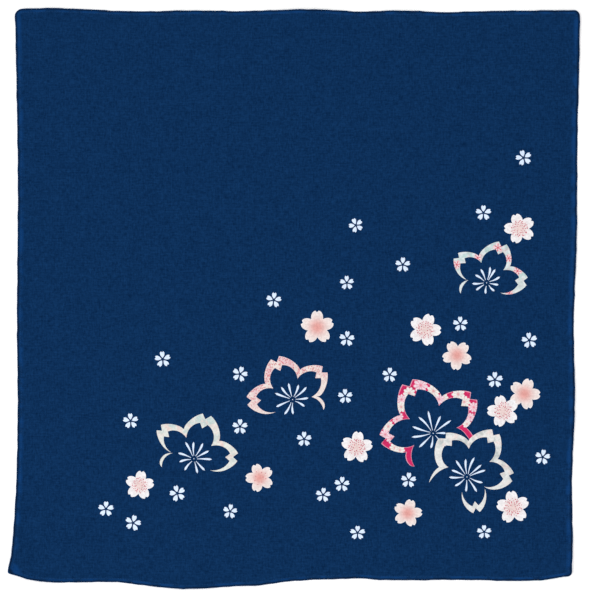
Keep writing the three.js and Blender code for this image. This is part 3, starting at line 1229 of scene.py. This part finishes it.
def ribbonColour(tree, tone, name):
    values = (srgb(*value) if isinstance(value, tuple) else value for value in ribbonDyes[name])
    return inked(tree, tone, groupNode(tree, ribbonDye, dict(zip(ribbonInputs, values)))["Color"], "ribbon")


def bloomColour(tree, tone, name):
    *colours, heartSize, marks, amount, count = bloomInks[name]
    petal, heart, rim, mark = (srgb(*colour) for colour in colours)
    masks = groupNode(tree, petalShade, {"Heart Size": heartSize, "Line Count": count})
    colour = mixColour(tree, mathNode(tree, "MULTIPLY", masks[marks], amount), petal, mark)
    colour = mixColour(tree, masks["Heart"], colour, heart)
    return inked(tree, tone, mixColour(tree, masks["Rim"], colour, rim), "bloom")


def makeMaterial(name, finish, colourOf):
    material = bpy.data.materials.new(name)
    material.use_nodes = True
    tree = material.node_tree
    grain = groupNode(tree, crepeGrain, finish.get("grain", crepe["grain"]))
    bump = {"Height": grain["Height"], "Strength": finish["relief"], "Distance": crepe["bumpDistance"]}
    fillSockets(tree, tree.nodes["Principled BSDF"], {
        "Base Color": colourOf(tree, grain["Tone"], name),
        "Roughness": rampValue(tree, grain["Tone"], *crepe["toneRange"], *finish["roughness"]),
        "Normal": addNode(tree, "ShaderNodeBump", bump).outputs[0],
        **finish["sockets"],
    })
    return material


materials = {"hemThread": makeMaterial("hemThread", threadFinish, threadColour)}
for names, finish, colourOf in (
    (clothDyes, clothFinish, clothColour), (plainInks, inkFinish, plainColour),
    (ribbonDyes, inkFinish, ribbonColour), (bloomInks, inkFinish, bloomColour),
):
    materials |= {name: makeMaterial(name, finish, colourOf) for name in names}
for name in paints:
    cloth.data.materials.append(materials[name])
stitches.data.materials.append(materials["hemThread"])
print("finishes:", len(materials), "materials")

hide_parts("cloth")
for piece in (cloth, stitches):
    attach(piece, "root")

studio = {
    "floorSize": 24,  # metres
    "floorDrop": 0.0002,
    "floorPaper": {"Base Color": (0.97, 0.97, 0.97, 1), "Roughness": 0.9, "Specular IOR Level": 0.1},
    "skyStrength": 0.79,
    "keyPlace": (-1.7, -1.5, 2.2),
    "keySize": 1.8,
    "keyPower": 24,
    "topAngle": 70,  # degrees, a wide soft light overhead
    "topTilt": (-7, -9),  # degrees about x and y
    "topStrength": 1.14,
    "cameraPlace": (0.0070, -0.0019, 2.5),
    "cameraSees": 0.7299,  # metres across the picture at the floor
    "sensorWidth": 36,
}


def buildFloor():
    bpy.ops.mesh.primitive_plane_add(size=studio["floorSize"], location=(0, 0, -studio["floorDrop"]))
    floor = bpy.context.object
    floor.name = "studioFloor"
    material = bpy.data.materials.new("floorPaper")
    material.use_nodes = True
    fillSockets(material.node_tree, material.node_tree.nodes["Principled BSDF"], studio["floorPaper"])
    floor.data.materials.append(material)


def buildLights():
    world = bpy.data.worlds.new("softRoom")
    world.use_nodes = True
    sky = {"Color": white, "Strength": studio["skyStrength"]}
    fillSockets(world.node_tree, world.node_tree.nodes["Background"], sky)
    bpy.context.scene.world = world

    key = bpy.data.lights.new("keyLight", "AREA")
    key.energy = studio["keyPower"]
    key.size = studio["keySize"]
    keyLight = newObject("keyLight", key)
    keyLight.location = studio["keyPlace"]
    keyLight.rotation_euler = (-Vector(studio["keyPlace"])).to_track_quat("-Z", "Y").to_euler()
    keyLight.visible_camera = False

    top = bpy.data.lights.new("topLight", "SUN")
    top.energy = studio["topStrength"]
    top.angle = math.radians(studio["topAngle"])
    newObject("topLight", top).rotation_euler = (*(math.radians(tilt) for tilt in studio["topTilt"]), 0)


def buildCamera():
    lens = bpy.data.cameras.new("photoCamera")
    lens.sensor_width = studio["sensorWidth"]
    lens.lens = lens.sensor_width * studio["cameraPlace"][2] / studio["cameraSees"]
    camera = newObject("photoCamera", lens)
    camera.location = studio["cameraPlace"]
    bpy.context.scene.camera = camera


buildFloor()
buildLights()
buildCamera()
bpy.context.scene.view_settings.view_transform = "Standard"
